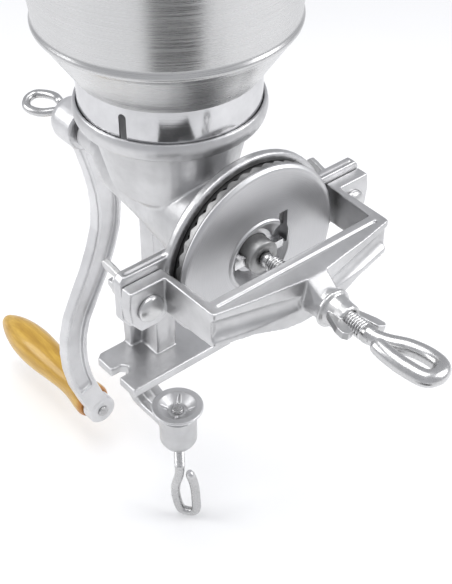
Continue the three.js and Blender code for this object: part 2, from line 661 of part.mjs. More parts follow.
// A wing nut on the X axis, its seat at x = 0 and its wings leaning towards +X.
function wingNut(holeR, baseR, bodyL, reach, spread, wingT) {
  const body = latheX([
    [0, 0], [baseR, 0], [baseR, 2.2], [baseR * 0.84, 3.4], [holeR + 3.4, bodyL * 0.6], [holeR + 3, bodyL - 1],
    [holeR + 2, bodyL], [0, bodyL],
  ], 28);
  const half = wingT / 2;
  const tipR = reach * 0.16;
  const wing = hull([
    ...[-half, half].flatMap((y) => [
      [3, y, holeR + 1], [bodyL - 1, y, holeR + 1], [bodyL * 0.5, y, baseR * 0.9],
      [reach - tipR * 2, y, spread - tipR * 2.1], [reach - tipR * 0.3, y, spread - tipR * 1.7],
      [reach, y, spread - tipR * 0.6], [reach - tipR * 0.6, y, spread],
      [reach - tipR * 1.8, y, spread - tipR * 0.2],
    ]),
  ]);
  const hole = rodX(holeR, -1, reach + 4, 20);
  return cut(union(body, wing, wing.mirror([0, 0, 1])), hole);
}

// A round bar that leaves the axis, runs round a flat loop and ends against its own shank.
// Starts at the origin heading +X; the loop lies in XY.
function bentLoop(length, width, radius) {
  const half = width / 2 - radius;
  const end = length - radius;
  return bar([
    [-6, 0, 0], [0, 0, 0], [length * 0.16, half * 0.2, -0.4], [length * 0.42, half * 0.85, -0.8],
    [length * 0.68, half, -0.6], [end - half * 0.28, half * 0.72, 0], [end, 0, 1],
    [end - half * 0.28, -half * 0.72, radius * 0.4], [length * 0.62, -half, radius * 0.7],
    [length * 0.36, -half * 0.97, radius * 0.95], [length * 0.15, -radius * 1.35, radius * 1.05],
  ], radius, 26, 10);
}

function adjustingScrew() {
  const tip = BALL_X + BALL_R + GAP;
  const shank = latheX([
    [0, tip], [ADJUSTER_R - 2, tip], [ADJUSTER_R, tip + 2.5], [ADJUSTER_R, ADJUSTER_SHOULDER - 3],
    [ADJUSTER_BAR_R, ADJUSTER_SHOULDER], [0, ADJUSTER_SHOULDER],
  ], 28);
  const leaning = turned(bentLoop(LOOP_L, LOOP_W, ADJUSTER_BAR_R), 4, 0, LOOP_LEAN);
  const loop = moved(leaning, ADJUSTER_SHOULDER - 2, 0, 0);
  return union(shank, loop);
}

function lockWingNut() {
  return moved(turned(wingNut(ADJUSTER_R + GAP, 13.2, 16, 31, 20, 4.6), -110, 0, 0), STEM_END + GAP, 0, 0);
}

function yokeWingNut() {
  const nut = wingNut(BOLT_R + GAP, 9.5, 13, 28, 13, 4);
  return moved(turned(nut, 10, 0, 180), EAR_REAR - GAP, BOLT_Y, 0);
}

// ---- crank ----

// The outline of a strip of the given half width along the arm's centre line, as [y, z] points.
function armStrip(halfWidth, fromT, toT) {
  const line = new THREE.SplineCurve(CRANK_BOW.map(([y, f]) => new THREE.Vector2(y, -f * CRANK_LENGTH)));
  const steps = 16;
  const left = [];
  const right = [];
  for (let i = 0; i <= steps; i++) {
    const t = fromT + ((toT - fromT) * i) / steps;
    const p = line.getPoint(t);
    const d = line.getTangent(t);
    const w = halfWidth - CRANK_TAPER * t;
    left.push([p.x - d.y * w, p.y + d.x * w]);
    right.unshift([p.x + d.y * w, p.y - d.x * w]);
  }
  return [...left, ...right];
}

const crankAtRest = (s) => turned(s, CRANK_LEAN, 0, 0);

function crankArm() {
  const half = CRANK_THICK / 2;
  const arm = prism("x", armStrip(CRANK_WIDTH / 2, 0, 1), CRANK_X - half, CRANK_X + half);
  const panel = armStrip(CRANK_WIDTH / 2 - CRANK_RIB, 0.12, 0.9);
  const front = prism("x", panel, CRANK_X + CRANK_WEB / 2, CRANK_X + half + 1);
  const rear = prism("x", panel, CRANK_X - half - 1, CRANK_X - CRANK_WEB / 2);
  const hub = latheX([
    [0, CRANK_HUB_REAR], [CRANK_HUB_R - 7, CRANK_HUB_REAR], [CRANK_HUB_R - 2, CRANK_HUB_REAR + 3],
    [CRANK_HUB_R, CRANK_HUB_REAR + 8], [CRANK_HUB_R, CRANK_HUB_FRONT - 1], [CRANK_HUB_R - 1, CRANK_HUB_FRONT],
    [0, CRANK_HUB_FRONT],
  ], 36);
  const end = moved(latheX([
    [0, CRANK_X - CRANK_END_HALF], [CRANK_END_R - 1, CRANK_X - CRANK_END_HALF],
    [CRANK_END_R, CRANK_X - CRANK_END_HALF + 1], [CRANK_END_R, CRANK_X + CRANK_END_HALF - 1.4],
    [CRANK_END_R - 1.4, CRANK_X + CRANK_END_HALF], [0, CRANK_X + CRANK_END_HALF],
  ], 32), 0, 0, -CRANK_LENGTH);
  const shaftHole = cut(
    rodX(JOURNAL_R - 1 + GAP, CRANK_HUB_REAR - 1, CRANK_HUB_FRONT + 1, 32),
    box(CRANK_HUB_REAR - 2, CRANK_HUB_FRONT + 2, -20, 20, JOURNAL_R - 2.4 + GAP, 20),
  );
  const pinHole = moved(rodX(SPINDLE_R + GAP, CRANK_X - 8, CRANK_X + 8, 20), 0, 0, -CRANK_LENGTH);
  return cut(union(cut(arm, front, rear), hub, end), turned(shaftHole, -CRANK_LEAN, 0, 0), pinHole);
}

function thumbScrew() {
  const shank = latheX([
    [0, THUMB_SHOULDER], [THUMB_BAR_R, THUMB_SHOULDER],
    [THUMB_R, THUMB_SHOULDER + 2], [THUMB_R, THUMB_TIP - 1],
    [THUMB_R - 1, THUMB_TIP], [0, THUMB_TIP],
  ], 20);
  const loop = turned(bentLoop(THUMB_LOOP_L, THUMB_LOOP_W, THUMB_BAR_R), -10, 0, 180 + THUMB_LEAN);
  return union(shank, moved(loop, THUMB_SHOULDER + 1, 0, 0));
}

function handleGrip() {
  const from = GRIP_START;
  const at = (fraction) => from - GRIP_LENGTH * fraction;
  const grip = latheX([
    [SPINDLE_R + GAP, at(0)], [GRIP_R - 3, at(0)], [GRIP_R - 1.6, at(0.02)], [GRIP_R - 1.8, at(0.07)],
    [GRIP_R - 4, at(0.17)], [GRIP_R - 4.6, at(0.26)], [GRIP_R - 3, at(0.4)], [GRIP_R - 0.8, at(0.54)],
    [GRIP_R, at(0.66)], [GRIP_R - 1.2, at(0.78)], [GRIP_R - 4.6, at(0.89)], [GRIP_R - 9, at(0.97)],
    [SPINDLE_R + 2.6, at(1)], [SPINDLE_R + GAP, at(1)],
  ], 28);
  return moved(grip, 0, 0, -CRANK_LENGTH);
}

function handleSpindle() {
  const outEnd = GRIP_START - GRIP_LENGTH - GAP;
  const inEnd = CRANK_X + CRANK_END_HALF + GAP;
  return moved(latheX([
    [0, outEnd - 2.4], [SPINDLE_R + 0.4, outEnd - 2], [SPINDLE_R + 2, outEnd], [SPINDLE_R, outEnd],
    [SPINDLE_R, inEnd], [SPINDLE_R + 1.6, inEnd], [SPINDLE_R + 1, inEnd + 1.2], [0, inEnd + 1.8],
  ], 24), 0, 0, -CRANK_LENGTH);
}

// ---- table clamp ----

function clampPad() {
  const floor = PAD_RIM - PAD_H;
  const cup = latheZ([
    [CLAMP_R - 1 + GAP, floor], [BOSS_R - 1, floor], [PAD_R, PAD_RIM - 2.2], [PAD_R, PAD_RIM - 0.8],
    [PAD_R - 0.8, PAD_RIM], [PAD_R - PAD_FACE, PAD_RIM], [CLAMP_R + 3.4, floor + 3.4],
    [CLAMP_R - 1 + GAP, floor + 3.4],
  ], 40);
  const groove = hull([
    [CLAMP_R + 2.6, -2, PAD_RIM + 2], [CLAMP_R + 2.6, 2, PAD_RIM + 2], [PAD_R - 7, -2, PAD_RIM + 2],
    [PAD_R - 7, 2, PAD_RIM + 2], [CLAMP_R + 2.6, -1, floor + 1.6], [CLAMP_R + 2.6, 1, floor + 1.6],
    [PAD_R - 7, 0, PAD_RIM - 4.2],
  ]);
  const grooves = [45, 135, 225, 315].map((angle) => turned(groove, 0, 0, angle));
  return moved(cut(cup, ...grooves), CLAMP_X, 0, 0);
}

function clampScrew() {
  const neck = CLAMP_R - 1;
  const floor = PAD_RIM - PAD_H;
  const shoulder = floor - GAP;
  const bottom = BOSS_TOP - CLAMP_SHANK;
  const shank = latheZ([
    [0, bottom], [CLAMP_BAR_R, bottom], [CLAMP_R, bottom + 3], [CLAMP_R, shoulder - 0.4], [neck, shoulder],
    [neck, floor + 3.4 + GAP], [neck + 1.8, floor + 3.4 + GAP], [neck + 1.2, floor + 6], [0, floor + 6.8],
  ], 24);
  const leaning = turned(bentLoop(CLAMP_LOOP_L, CLAMP_LOOP_W, CLAMP_BAR_R), 0, 0, -CLAMP_LEAN);
  const loop = turned(turned(leaning, 0, 90, 0), 0, 0, CLAMP_LOOP_TURN);
  return moved(union(shank, moved(loop, 0, 0, bottom + 2)), CLAMP_X, 0, 0);
}

// ---- assembly ----

const group = new THREE.Group();

function piece(name, shape, look) {
  const placed = shape.translate([0, 0, SHAFT_HEIGHT]);
  const mesh = placed.getMesh();
  const g = new THREE.BufferGeometry();
  g.setAttribute("position", new THREE.BufferAttribute(new Float32Array(mesh.vertProperties), 3));
  g.setIndex(new THREE.BufferAttribute(new Uint32Array(mesh.triVerts), 1));
  const flat = g.toNonIndexed();
  flat.computeVertexNormals();
  const made = new THREE.Mesh(flat, new THREE.MeshStandardMaterial(look));
  made.name = name;
  group.add(made);
}

piece("body_casting", bodyCasting(), WASHED_TIN);
piece("hopper_skirt", hopperSkirt(), POLISHED);
piece("hopper_bowl", hopperBowl(), POLISHED);
piece("fixed_burr", burr(BURR_OUTER_R, BURR_FIXED_REAR, BURR_FIXED_FRONT, BURR_FIXED_FRONT, -1), IRON);
piece("moving_burr", burr(MOVING_BURR_R, MOVING_REAR, MOVING_FRONT, MOVING_REAR, 1), IRON);
piece("disc_carrier", discCarrier(), WASHED_TIN);
piece("auger", auger(), IRON);
piece("drive_key", driveKey(), STEEL);
piece("thrust_ball", thrustBall(), STEEL);
piece("yoke", yoke(), WASHED_TIN);
piece("yoke_bolt_right", yokeBolt(), STEEL);
piece("yoke_bolt_left", mirroredY(yokeBolt()), STEEL);
piece("yoke_wing_nut_right", yokeWingNut(), STEEL);
piece("yoke_wing_nut_left", mirroredY(yokeWingNut()), STEEL);
piece("adjusting_screw", adjustingScrew(), STEEL);
piece("lock_wing_nut", lockWingNut(), STEEL);
piece("crank_arm", crankAtRest(crankArm()), WASHED_TIN);
piece("crank_thumb_screw", thumbScrew(), STEEL);
piece("handle_grip", crankAtRest(handleGrip()), WOOD);
piece("handle_spindle", crankAtRest(handleSpindle()), STEEL);
piece("clamp_screw", clampScrew(), STEEL);
piece("clamp_pad", clampPad(), WASHED_TIN);

export default group;
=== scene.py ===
"""Looks of a hand-cranked kitchen mill: tinned castings, sheet hopper, plated screws, wood grip."""
import math

import bmesh
import bpy
from mathutils import Matrix, Vector


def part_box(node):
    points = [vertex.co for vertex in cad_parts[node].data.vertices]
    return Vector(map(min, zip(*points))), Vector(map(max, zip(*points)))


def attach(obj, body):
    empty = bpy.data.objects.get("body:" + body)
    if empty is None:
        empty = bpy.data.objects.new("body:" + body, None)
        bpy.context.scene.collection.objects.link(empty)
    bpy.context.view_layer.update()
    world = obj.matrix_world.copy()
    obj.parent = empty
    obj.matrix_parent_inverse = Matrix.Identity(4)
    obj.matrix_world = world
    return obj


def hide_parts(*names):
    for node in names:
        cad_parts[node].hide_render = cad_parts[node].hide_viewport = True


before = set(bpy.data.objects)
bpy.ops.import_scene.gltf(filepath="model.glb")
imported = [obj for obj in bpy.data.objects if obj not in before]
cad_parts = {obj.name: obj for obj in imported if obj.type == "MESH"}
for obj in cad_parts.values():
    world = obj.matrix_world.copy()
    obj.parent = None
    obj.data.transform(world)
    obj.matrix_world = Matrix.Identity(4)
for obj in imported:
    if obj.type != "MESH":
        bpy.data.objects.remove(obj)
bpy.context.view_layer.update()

MM = 0.001
AXIS_X, AXIS_Z = "X", "Z"

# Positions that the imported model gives, in millimetres.


def centre_mm(node):
    lo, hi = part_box(node)
    return (lo + hi) / 2 / MM


def low_mm(node):
    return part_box(node)[0] / MM


def high_mm(node):
    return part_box(node)[1] / MM


SHAFT = Vector((0, 0, centre_mm("thrust_ball").z))
CLAMP = Vector((centre_mm("clamp_pad").x, 0, 0))
PIN = Vector((0, centre_mm("handle_spindle").y, centre_mm("handle_spindle").z))
BOLT_Y = centre_mm("yoke_bolt_right").y

# ---- mesh helpers ----


def add_object(name, mesh):
    obj = bpy.data.objects.new(name, mesh)
    bpy.context.scene.collection.objects.link(obj)
    return obj


def shade_smooth(mesh, sharp_degrees):
    for polygon in mesh.polygons:
        polygon.use_smooth = True
    mesh.set_sharp_from_angle(angle=math.radians(sharp_degrees))


def baked(obj):
    """Applies every modifier of an object to its mesh."""
    graph = bpy.context.evaluated_depsgraph_get()
    mesh = bpy.data.meshes.new_from_object(obj.evaluated_get(graph))
    obj.modifiers.clear()
    old = obj.data
    obj.data = mesh
    bpy.data.meshes.remove(old)
    return obj


def make_mesh(name, verts, faces, sharp_degrees=35):
    mesh = bpy.data.meshes.new(name)
    mesh.from_pydata([tuple(v * MM for v in p) for p in verts], [], faces)
    mesh.validate()
    shade_smooth(mesh, sharp_degrees)
    return add_object(name, mesh)


def rounded(points, radius, steps=4):
    """A closed outline with each corner cut to a small arc. Points are (r, h) in millimetres."""
    out = []
    count = len(points)
    for i, here in enumerate(points):
        p = Vector(here)
        before = Vector(points[i - 1]) - p
        after = Vector(points[(i + 1) % count]) - p
        reach = min(radius, before.length * 0.45, after.length * 0.45)
        if p.x < 1e-6 or reach < 1e-6:
            out.append(tuple(p))
            continue
        a = p + before.normalized() * reach
        b = p + after.normalized() * reach
        for k in range(steps + 1):
            t = k / steps
            out.append(tuple(a.lerp(p, t).lerp(p.lerp(b, t), t)))
    return out


def on_axis(axis, radius, height, angle, origin):
    c, s = radius * math.cos(angle), radius * math.sin(angle)
    local = Vector((height, c, s)) if axis == AXIS_X else Vector((c, s, height))
    return local + origin


def lathe(name, axis, origin, profile, segments=160, sharp_degrees=35):
    """Revolves a closed (radius, height) profile about an axis through the origin point."""
    rings = len(profile)
    verts = []
    for s in range(segments):
        angle = 2 * math.pi * s / segments
        verts += [on_axis(axis, r, h, angle, origin) for r, h in profile]
    faces = []
    for s in range(segments):
        t = (s + 1) % segments
        for i in range(rings):
            j = (i + 1) % rings
            quad = [s * rings + i, s * rings + j, t * rings + j, t * rings + i]
            if profile[i][0] < 1e-6 and profile[j][0] < 1e-6:
                continue
            faces.append(quad)
    obj = make_mesh(name, verts, faces, sharp_degrees)
    return weld(obj)


def weld(obj, distance=1e-6, sharp_degrees=35):
    bm = bmesh.new()
    bm.from_mesh(obj.data)
    bmesh.ops.remove_doubles(bm, verts=bm.verts, dist=distance)
    bmesh.ops.recalc_face_normals(bm, faces=bm.faces)
    bm.to_mesh(obj.data)
    bm.free()
    shade_smooth(obj.data, sharp_degrees)
    return obj


def thread(name, axis, origin, radius, start, end, pitch, depth, sides=28):
    """A threaded rod from start to end along an axis; both ends run out to a plain chamfer."""
    per_turn = 8
    rows = max(8, int(abs(end - start) / pitch * per_turn))
    verts = []
    for i in range(rows + 1):
        h = start + (end - start) * i / rows
        run_out = min(1, i / per_turn, (rows - i) / per_turn)
        for k in range(sides):
            phase = (h / pitch - k / sides) % 1
            ridge = 1 - abs(2 * phase - 1)
            r = radius - depth * (1 - min(1, ridge * 1.3)) * run_out - 0.25 * (1 - run_out)
            verts.append(on_axis(axis, r, h, 2 * math.pi * k / sides, origin))
    faces = []
    for i in range(rows):
        for k in range(sides):
            n = (k + 1) % sides
            faces.append([i * sides + k, i * sides + n, (i + 1) * sides + n, (i + 1) * sides + k])
    faces.append(list(range(sides)))
    faces.append([rows * sides + k for k in reversed(range(sides))])
    return weld(make_mesh(name, verts, faces), sharp_degrees=55)


def smooth_path(points, per_span):
    """Centripetal Catmull-Rom line through the points."""
    ps = [Vector(p) for p in points]
    ps = [2 * ps[0] - ps[1], *ps, 2 * ps[-1] - ps[-2]]
    out = []
    for i in range(1, len(ps) - 2):
        p0, p1, p2, p3 = ps[i - 1:i + 3]
        d0, d1, d2 = ((b - a).length ** 0.5 for a, b in ((p0, p1), (p1, p2), (p2, p3)))
        t1 = ((p1 - p0) / d0 - (p2 - p0) / (d0 + d1) + (p2 - p1) / d1) * d1
        t2 = ((p2 - p1) / d1 - (p3 - p1) / (d1 + d2) + (p3 - p2) / d2) * d1
        for k in range(per_span):
            t = k / per_span
            out.append(p1 + t1 * t + (3 * (p2 - p1) - 2 * t1 - t2) * t * t
                       + (2 * (p1 - p2) + t1 + t2) * t * t * t)
    out.append(ps[-2])
    return out


def round_bar(name, path, radius, sides=20):
    """A round bar along a path, with a softly rounded far end."""
    verts, faces = [], []
    side = Vector((0, 0, 1))
    last = len(path) - 1
    cap = 3
    for i, p in enumerate(path):
        along = (path[min(i + 1, last)] - path[max(i - 1, 0)]).normalized()
        side = (side - along * side.dot(along)).normalized()
        up = along.cross(side)
        near_end = max(0, i - (last - cap)) / cap
        r = radius * (1 - 0.35 * near_end ** 2)
        for k in range(sides):
            a = 2 * math.pi * k / sides
            verts.append(p + side * (r * math.cos(a)) + up * (r * math.sin(a)))
    for i in range(last):
        for k in range(sides):
            n = (k + 1) % sides
            faces.append([i * sides + k, i * sides + n, (i + 1) * sides + n, (i + 1) * sides + k])
    faces.append(list(range(sides)))
    faces.append([last * sides + k for k in reversed(range(sides))])
    return weld(make_mesh(name, verts, faces))


def turn(x, y, z):
    """Turns about X, then Y, then Z, in degrees."""
    rx, ry, rz = (Matrix.Rotation(math.radians(a), 3, n) for a, n in ((x, "X"), (y, "Y"), (z, "Z")))
    return rz @ ry @ rx


def eye_loop(name, length, width, radius, turns, place):
    """The bent eye of a screw: leaves the axis, runs round a loop and ends against its own shank."""
    half = width / 2 - radius
    end = length - radius
    points = [
        (-6, 0, 0), (0, 0, 0), (length * 0.16, half * 0.2, -0.4), (length * 0.42, half * 0.85, -0.8),
        (length * 0.68, half, -0.6), (end - half * 0.28, half * 0.72, 0), (end, 0, 1),
        (end - half * 0.28, -half * 0.72, radius * 0.4), (length * 0.62, -half, radius * 0.7),
        (length * 0.36, -half * 0.97, radius * 0.95), (length * 0.15, -radius * 1.35, radius * 1.05),
    ]
    turned = smooth_path(points, 9)
    for t in turns:
        matrix = turn(*t)
        turned = [matrix @ p for p in turned]
    return round_bar(name, [p + place for p in turned], radius)


def prism_x(name, outline, start, end, origin):
    """A straight prism along X from a (y, z) outline."""
    count = len(outline)
    verts = [Vector((x, y, z)) + origin for x in (start, end) for y, z in outline]
    faces = [[k, (k + 1) % count, count + (k + 1) % count, count + k] for k in range(count)]
    faces += [list(range(count)), [count + k for k in reversed(range(count))]]
    return weld(make_mesh(name, verts, faces))


def cut_away(obj, *tools):
    """Cuts the tools out of an object and removes them."""
    for tool in tools:
        modifier = obj.modifiers.new("cut", "BOOLEAN")
        modifier.operation = "DIFFERENCE"
        modifier.solver = "EXACT"
        modifier.object = tool
        baked(obj)
        bpy.data.objects.remove(tool)
    shade_smooth(obj.data, 35)
    return obj


def cast_copy(name, node, voxel_mm, smoothing):
    """A copy of a CAD node with the softened edges and fillets of a casting."""
    obj = add_object(name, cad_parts[node].data.copy())
    obj.data.materials.clear()
    weld(obj)
    remesh = obj.modifiers.new("remesh", "REMESH")
    remesh.mode = "VOXEL"
    remesh.voxel_size = voxel_mm * MM
    remesh.use_smooth_shade = True
    smooth = obj.modifiers.new("smooth", "SMOOTH")
    smooth.factor = 0.5
    smooth.iterations = smoothing
    baked(obj)
    shade_smooth(obj.data, 150)
    return obj


def plain_copy(name, node, sharp_degrees):
    """A copy of a CAD node, smooth across its facets and sharp at its edges."""
    obj = add_object(name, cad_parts[node].data.copy())
    obj.data.materials.clear()
    return weld(obj, sharp_degrees=sharp_degrees)


# ---- materials ----


class Nodes:
    """Short calls for building one material's node tree."""

    def __init__(self, name):
        self.material = bpy.data.materials.new(name)
        self.material.use_nodes = True
        self.tree = self.material.node_tree
        self.shader = self.tree.nodes["Principled BSDF"]
        self.coords = self.add("ShaderNodeTexCoord").outputs["Object"]

    def add(self, kind):
        return self.tree.nodes.new(kind)

    def link(self, source, target):
        self.tree.links.new(source, target)

    def set(self, **values):
        for key, value in values.items():
            self.shader.inputs[key.replace("_", " ")].default_value = value

    def mapped(self, scale=(1, 1, 1), location=(0, 0, 0)):
        node = self.add("ShaderNodeMapping")
        node.inputs["Scale"].default_value = scale
        node.inputs["Location"].default_value = location
        self.link(self.coords, node.inputs["Vector"])
        return node.outputs["Vector"]

    def noise(self, scale, detail=3, roughness=0.55, vector=None):
        node = self.add("ShaderNodeTexNoise")
        node.inputs["Scale"].default_value = scale
        node.inputs["Detail"].default_value = detail
        node.inputs["Roughness"].default_value = roughness
        self.link(vector or self.coords, node.inputs["Vector"])
        return node.outputs["Fac"]

    def ramp(self, fac, stops):
        node = self.add("ShaderNodeValToRGB")
        elements = node.color_ramp.elements
        while len(elements) < len(stops):
            elements.new(0.5)
        for element, (place, colour) in zip(elements, stops):
            element.position = place
            element.color = (*colour, 1) if len(colour) == 3 else colour
        self.link(fac, node.inputs["Fac"])
        return node.outputs["Color"]

    def grey(self, fac, *stops):
        return self.ramp(fac, [(place, (v, v, v)) for place, v in stops])

    def mix(self, fac, a, b, blend="MIX"):
        node = self.add("ShaderNodeMix")
        node.data_type = "RGBA"
        node.blend_type = blend
        for value, socket in ((fac, node.inputs[0]), (a, node.inputs[6]), (b, node.inputs[7])):
            if hasattr(value, "node"):
                self.link(value, socket)
            else:
                socket.default_value = value if isinstance(value, float) else (*value, 1)
        return node.outputs[2]

    def math(self, operation, a, b=0.0):
        node = self.add("ShaderNodeMath")
        node.operation = operation
        for value, socket in ((a, node.inputs[0]), (b, node.inputs[1])):
            if hasattr(value, "node"):
                self.link(value, socket)
            else:
                socket.default_value = value
        return node.outputs["Value"]

    def split(self, vector=None):
        node = self.add("ShaderNodeSeparateXYZ")
        self.link(vector or self.coords, node.inputs["Vector"])
        return node.outputs

    def edge(self, low=0.5, high=0.56):
        """White along raised edges."""
        return self.grey(self.add("ShaderNodeNewGeometry").outputs["Pointiness"], (low, 0), (high, 1))

    def bump(self, height, strength, distance_mm, below=None):
        node = self.add("ShaderNodeBump")
        node.inputs["Strength"].default_value = strength
        node.inputs["Distance"].default_value = distance_mm * MM
        self.link(height, node.inputs["Height"])
        if below is not None:
            self.link(below, node.inputs["Normal"])
        return node.outputs["Normal"]

    def finish(self, colour=None, roughness=None, normal=None):
        if colour is not None:
            self.link(colour, self.shader.inputs["Base Color"])
        if roughness is not None:
            self.link(roughness, self.shader.inputs["Roughness"])
        if normal is not None:
            self.link(normal, self.shader.inputs["Normal"])
        return self.material


def tinned_casting(name, light=0.6, dark=0.49, rough=(0.3, 0.46)):
    """Sand-cast iron under bright tin: satin faces, grainy bright and dark specks along the edges."""
    n = Nodes(name)
    n.set(Metallic=1.0)
    grain = n.noise(1500, 3, 0.7)
    skin = n.noise(260, 4, 0.6)
    cloud = n.noise(28, 3)
    patches = n.grey(cloud, (0.35, 0), (0.65, 1))
    face = n.mix(patches, (dark, dark, dark * 1.01), (light, light, light * 1.01))
    specks = n.grey(grain, (0.38, 0.0), (0.6, 1.0))
    edge = n.edge(0.51, 0.56)
    grit = n.mix(specks, (0.4, 0.4, 0.41), (0.92, 0.92, 0.93))
    colour = n.mix(n.math("MULTIPLY", edge, 0.5), face, grit)
    roughness = n.grey(skin, (0.3, rough[0]), (0.7, rough[1]))
    normal = n.bump(cloud, 0.25, 1.2)
    normal = n.bump(skin, 0.28, 0.3, normal)
    normal = n.bump(grain, 0.16, 0.1, normal)
    return n.finish(colour, roughness, normal)


def polished_sheet(name):
    """Rolled and polished tinned sheet, with faint marks running round it and shallow handling dents."""
    n = Nodes(name)
    n.set(Metallic=1.0)
    round_marks = n.noise(30, 4, 0.6, n.mapped((0.4, 0.4, 30)))
    cloud = n.noise(16, 2)
    smudge = n.noise(60, 4, 0.65)
    colour = n.mix(n.grey(smudge, (0.35, 0), (0.7, 1)), (0.55, 0.55, 0.56), (0.64, 0.64, 0.65))
    roughness = n.grey(n.mix(0.5, round_marks, smudge), (0.3, 0.07), (0.7, 0.15))
    normal = n.bump(cloud, 0.35, 0.8)
    normal = n.bump(round_marks, 0.12, 0.1, normal)
    return n.finish(colour, roughness, normal)


def satin_sheet(name):
    """The bowl: the same sheet with a softer, spun finish."""
    n = Nodes(name)
    n.set(Metallic=1.0)
    spun = n.noise(30, 4, 0.6, n.mapped((0.5, 0.5, 60)))
    cloud = n.noise(12, 2)
    colour = n.grey(spun, (0.3, 0.52), (0.7, 0.6))
    roughness = n.grey(spun, (0.3, 0.2), (0.7, 0.34))
    normal = n.bump(cloud, 0.3, 0.8)
    normal = n.bump(spun, 0.18, 0.12, normal)
    return n.finish(colour, roughness, normal)


def turned_face(name):
    """A lathe-turned disc: fine rings about the shaft that fan the light out into sectors."""
    n = Nodes(name)
    n.set(Metallic=1.0, Anisotropic=0.7)
    tangent = n.add("ShaderNodeTangent")
    tangent.direction_type = "RADIAL"
    tangent.axis = "X"
    n.link(tangent.outputs["Tangent"], n.shader.inputs["Tangent"])
    x, y, z = n.split(n.mapped(location=(0, 0, -SHAFT.z * MM)))
    radius = n.math("SQRT", n.math("ADD", n.math("MULTIPLY", y, y), n.math("MULTIPLY", z, z)))
    rings = n.add("ShaderNodeTexNoise")
    rings.noise_dimensions = "1D"
    rings.inputs["Scale"].default_value = 2400
    rings.inputs["Detail"].default_value = 3
    n.link(radius, rings.inputs["W"])
    ring = rings.outputs["Fac"]
    cloud = n.noise(30, 3)
    colour = n.mix(n.grey(ring, (0.35, 0), (0.65, 1)), (0.5, 0.5, 0.51), (0.58, 0.58, 0.59))
    patches = n.math("MULTIPLY", n.grey(cloud, (0.4, 0), (0.7, 1)), 0.35)
    colour = n.mix(patches, colour, (0.64, 0.64, 0.64))
    roughness = n.grey(ring, (0.3, 0.3), (0.7, 0.42))
    normal = n.bump(ring, 0.12, 0.08)
    normal = n.bump(n.noise(1100, 2), 0.1, 0.06, normal)
    return n.finish(colour, roughness, normal)


def plated_steel(name, light=0.5, rough=(0.2, 0.34)):
    n = Nodes(name)
    n.set(Metallic=1.0)
    wear = n.noise(300, 4, 0.65)
    cloud = n.noise(60, 3)
    edge = n.edge(0.51, 0.56)
    face = n.mix(n.grey(cloud, (0.35, 0), (0.7, 1)), (light * 0.82,) * 3, (light,) * 3)
    colour = n.mix(n.math("MULTIPLY", edge, 0.5), face, (0.95, 0.95, 0.96))
    roughness = n.grey(wear, (0.3, rough[0]), (0.7, rough[1]))
    normal = n.bump(wear, 0.06, 0.1)
    return n.finish(colour, roughness, normal)


def ground_iron(name, dark=0.26, light=0.46):
    n = Nodes(name)
    n.set(Metallic=1.0)
    grain = n.noise(900, 3, 0.7)
    cloud = n.noise(70, 3)
    colour = n.mix(n.grey(cloud, (0.3, 0), (0.7, 1)), (dark,) * 3, (light,) * 3)
    roughness = n.grey(grain, (0.3, 0.38), (0.7, 0.6))
    normal = n.bump(grain, 0.4, 0.15)
    return n.finish(colour, roughness, normal)


def lacquered_wood(name):
    """Honey-coloured turned hardwood, grain along the grip, and a darker band at the crank end: its end
    grain, with painted shade from the crank over it.
    """
    n = Nodes(name)
    n.set(Coat_Weight=0.45, Coat_Roughness=0.12, IOR=1.5)
    long_grain = n.noise(9, 5, 0.62, n.mapped((1.2, 14, 14)))
    streaks = n.noise(60, 4, 0.7, n.mapped((0.35, 6, 6)))
    pores = n.noise(120, 3, 0.6, n.mapped((0.8, 12, 12)))
    colour = n.ramp(long_grain, [
        (0.3, (0.38, 0.2, 0.02)),
        (0.44, (0.48, 0.27, 0.026)),
        (0.56, (0.58, 0.35, 0.045)),
        (0.7, (0.68, 0.44, 0.07)),
    ])
    streak_mask = n.math("MULTIPLY", n.grey(streaks, (0.5, 0), (0.75, 1)), 0.28)
    colour = n.mix(streak_mask, colour, (0.38, 0.21, 0.02))
    pore_mask = n.math("MULTIPLY", n.grey(pores, (0.58, 0), (0.68, 1)), 0.2)
    colour = n.mix(pore_mask, colour, (0.3, 0.14, 0.015))
    x = n.split()[0]
    start = high_mm("handle_grip").x * MM
    # Darker, redder band at the crank end: the end grain, plus painted shade where the crank shades the
    # grip.
    end_grain_and_shade_band = n.grey(n.math("DIVIDE", n.math("SUBTRACT", x, start - 9 * MM), 9 * MM), (0.2, 0), (0.9, 1))
    colour = n.mix(n.math("MULTIPLY", end_grain_and_shade_band, 0.75), colour, (0.42, 0.13, 0.008))
    roughness = n.grey(streaks, (0.3, 0.3), (0.7, 0.46))
    normal = n.bump(long_grain, 0.1, 0.3)
    normal = n.bump(pores, 0.12, 0.1, normal)
    return n.finish(colour, roughness, normal)


CASTING = tinned_casting("tinned_casting")
CRANK_METAL = tinned_casting("tinned_crank", 0.72, 0.62, (0.34, 0.48))
# A lighter copy of the tinned casting for the clamp pad: painted light that makes the pad's cup read
# white.
PAD_METAL_PAINTED_LIGHT = tinned_casting("tinned_pad_painted_light", 0.68, 0.58, (0.38, 0.5))
SHEET = polished_sheet("polished_sheet")
BOWL_SHEET = satin_sheet("spun_sheet")
TURNED = turned_face("turned_disc")
PLATED = plated_steel("plated_steel")
NUT_METAL = plated_steel("cast_nut", 0.62, (0.26, 0.4))
IRON = ground_iron("ground_iron")
# A near-black copy of the ground iron for the fixed burr: painted shade for the gap behind the disc rim.
SHADED_IRON = ground_iron("shade_painted_iron", 0.07, 0.15)
WOOD = lacquered_wood("lacquered_wood")


def piece(obj, body, node, material):
    """Gives an object its material and its body, and hides the CAD node it stands for."""
    obj.data.materials.clear()
    obj.data.materials.append(material)
    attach(obj, body)
    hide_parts(node)
    return obj


# ---- castings ----

VOXEL = 0.7
BODY_VOXEL = VOXEL * 1.15

